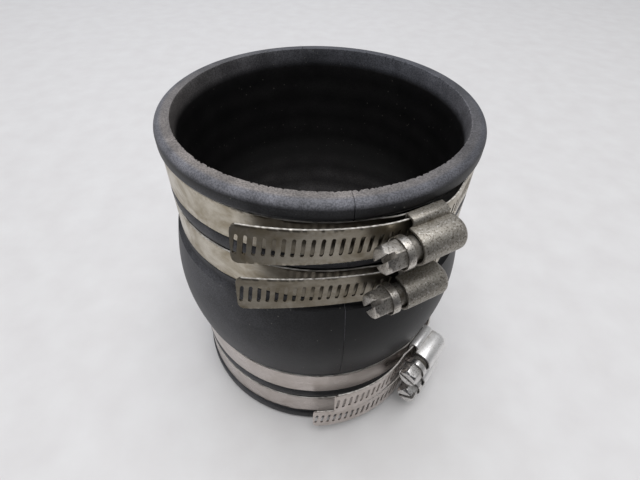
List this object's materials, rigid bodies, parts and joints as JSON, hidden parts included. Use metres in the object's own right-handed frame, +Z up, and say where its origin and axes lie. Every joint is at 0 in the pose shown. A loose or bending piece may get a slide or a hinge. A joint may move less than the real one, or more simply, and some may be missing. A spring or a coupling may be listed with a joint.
{
  "type": "flexible pipe coupling",
  "caption": "Rubber sleeve with a barrel-shaped bulge and grooved cuffs, held on pipe ends by worm-drive band clamps with slotted hex screws.",
  "frame": {"origin": "middle of the coupling's footprint on the surface that it stands on; the sleeve's axis is 3.7 mm from it towards +Y", "axes": "+Z up along the sleeve's bore, -Y towards the clamps' screws, +X to the right of them"},
  "size_m": [0.1214, 0.1288, 0.13],
  "materials": {
    "rubber": "matte moulded black EPDM, dusty",
    "band_steel": "rolled stainless strip, dulled",
    "housing_steel": "pressed stainless, weathered and pitted",
    "saddle_steel": "pressed stainless",
    "screw_steel": "cold-headed plated steel, dulled"
  },
  "bodies": {
    "sleeve": {"sleeve": "rubber"},
    "top_clamp": {"top_band": "band_steel", "top_housing": "housing_steel", "top_saddle": "saddle_steel"},
    "top_screw": {"top_screw": "screw_steel"},
    "upper_clamp": {"upper_band": "band_steel", "upper_housing": "housing_steel", "upper_saddle": "saddle_steel"},
    "upper_screw": {"upper_screw": "screw_steel"},
    "lower_clamp": {"lower_band": "band_steel", "lower_housing": "housing_steel", "lower_saddle": "saddle_steel"},
    "lower_screw": {"lower_screw": "screw_steel"},
    "bottom_clamp": {"bottom_band": "band_steel", "bottom_housing": "housing_steel", "bottom_saddle": "saddle_steel"},
    "bottom_screw": {"bottom_screw": "screw_steel"}
  },
  "joints": [
    {"name": "top_clamp_turn", "type": "hinge", "parent": "sleeve", "child": "top_clamp", "pos_m": [0, 0.00369, 0.1167], "axis": [0, 0, 1], "continuous": true},
    {"name": "top_screw_spin", "type": "hinge", "parent": "top_clamp", "child": "top_screw", "pos_m": [0.03144, -0.05166, 0.1167], "axis": [-0.8695, -0.4939, 0], "continuous": true},
    {"name": "upper_clamp_turn", "type": "hinge", "parent": "sleeve", "child": "upper_clamp", "pos_m": [0, 0.00369, 0.0974], "axis": [0, 0, 1], "continuous": true},
    {"name": "upper_screw_spin", "type": "hinge", "parent": "upper_clamp", "child": "upper_screw", "pos_m": [0.03047, -0.0522, 0.0974], "axis": [-0.878, -0.4787, 0], "continuous": true},
    {"name": "lower_clamp_turn", "type": "hinge", "parent": "sleeve", "child": "lower_clamp", "pos_m": [0, 0.00369, 0.0326], "axis": [0, 0, 1], "continuous": true},
    {"name": "lower_screw_spin", "type": "hinge", "parent": "lower_clamp", "child": "lower_screw", "pos_m": [0.04974, -0.03602, 0.0326], "axis": [-0.6239, -0.7815, 0], "continuous": true},
    {"name": "bottom_clamp_turn", "type": "hinge", "parent": "sleeve", "child": "bottom_clamp", "pos_m": [0, 0.00369, 0.0133], "axis": [0, 0, 1], "continuous": true},
    {"name": "bottom_screw_spin", "type": "hinge", "parent": "bottom_clamp", "child": "bottom_screw", "pos_m": [0.05149, -0.03373, 0.0133], "axis": [-0.5878, -0.809, 0], "continuous": true}
  ]
}
